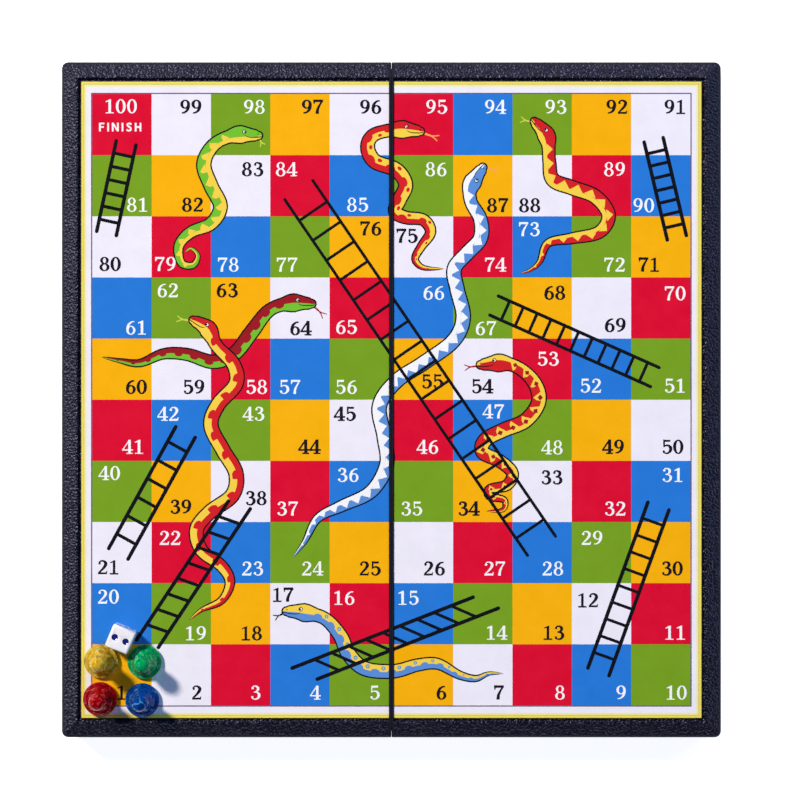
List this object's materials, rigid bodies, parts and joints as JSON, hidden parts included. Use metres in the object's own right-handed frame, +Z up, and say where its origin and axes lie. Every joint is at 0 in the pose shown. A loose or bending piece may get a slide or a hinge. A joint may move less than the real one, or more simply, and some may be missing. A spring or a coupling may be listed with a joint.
{
  "type": "folding snakes and ladders board",
  "caption": "Square folding board of two black trays hinged in the middle, with a printed hundred-square play sheet, magnetic pawns and a die.",
  "frame": {"origin": "middle of the open board, on the plane it stands on", "axes": "+X across the two halves to the right, +Y along the hinge towards the finish, +Z up out of the play surface"},
  "size_m": [0.245, 0.251, 0.0348],
  "materials": {
    "tray_black": "black moulded plastic with a fine sparkling grain",
    "printed_sheet": "printed and varnished",
    "steel_sheet": "tin plate",
    "steel_pin": "drawn wire",
    "pawn_yellow": "clear tinted plastic",
    "pawn_green": "clear tinted plastic",
    "pawn_red": "clear tinted plastic",
    "pawn_blue": "clear tinted plastic",
    "magnet": "pressed ferrite",
    "pad_black": "smooth",
    "die_white": "polished"
  },
  "bodies": {
    "right_half": {"right_tray": "tray_black", "right_steel": "steel_sheet", "right_print": "printed_sheet", "hinge_pin_front": "steel_pin", "hinge_pin_rear": "steel_pin"},
    "left_half": {"left_tray": "tray_black", "left_steel": "steel_sheet", "left_print": "printed_sheet"},
    "yellow_piece": {"yellow_pawn": "pawn_yellow", "yellow_magnet": "magnet", "yellow_pad": "pad_black"},
    "green_piece": {"green_pawn": "pawn_green", "green_magnet": "magnet", "green_pad": "pad_black"},
    "red_piece": {"red_pawn": "pawn_red", "red_magnet": "magnet", "red_pad": "pad_black"},
    "blue_piece": {"blue_pawn": "pawn_blue", "blue_magnet": "magnet", "blue_pad": "pad_black"},
    "die_piece": {"die": "die_white"}
  },
  "joints": [
    {"name": "fold", "type": "hinge", "parent": "right_half", "child": "left_half", "pos_m": [0, 0, 0.002], "axis": [0, -1, 0], "range_deg": [0, 180]},
    {"name": "lift_yellow", "type": "slide", "parent": "left_half", "child": "yellow_piece", "axis": [0, 0, 1], "range_m": [0, 0.03]},
    {"name": "lift_green", "type": "slide", "parent": "left_half", "child": "green_piece", "axis": [0, 0, 1], "range_m": [0, 0.03]},
    {"name": "lift_red", "type": "slide", "parent": "left_half", "child": "red_piece", "axis": [0, 0, 1], "range_m": [0, 0.03]},
    {"name": "lift_blue", "type": "slide", "parent": "left_half", "child": "blue_piece", "axis": [0, 0, 1], "range_m": [0, 0.03]},
    {"name": "lift_die", "type": "slide", "parent": "left_half", "child": "die_piece", "axis": [0, 0, 1], "range_m": [0, 0.03]}
  ]
}
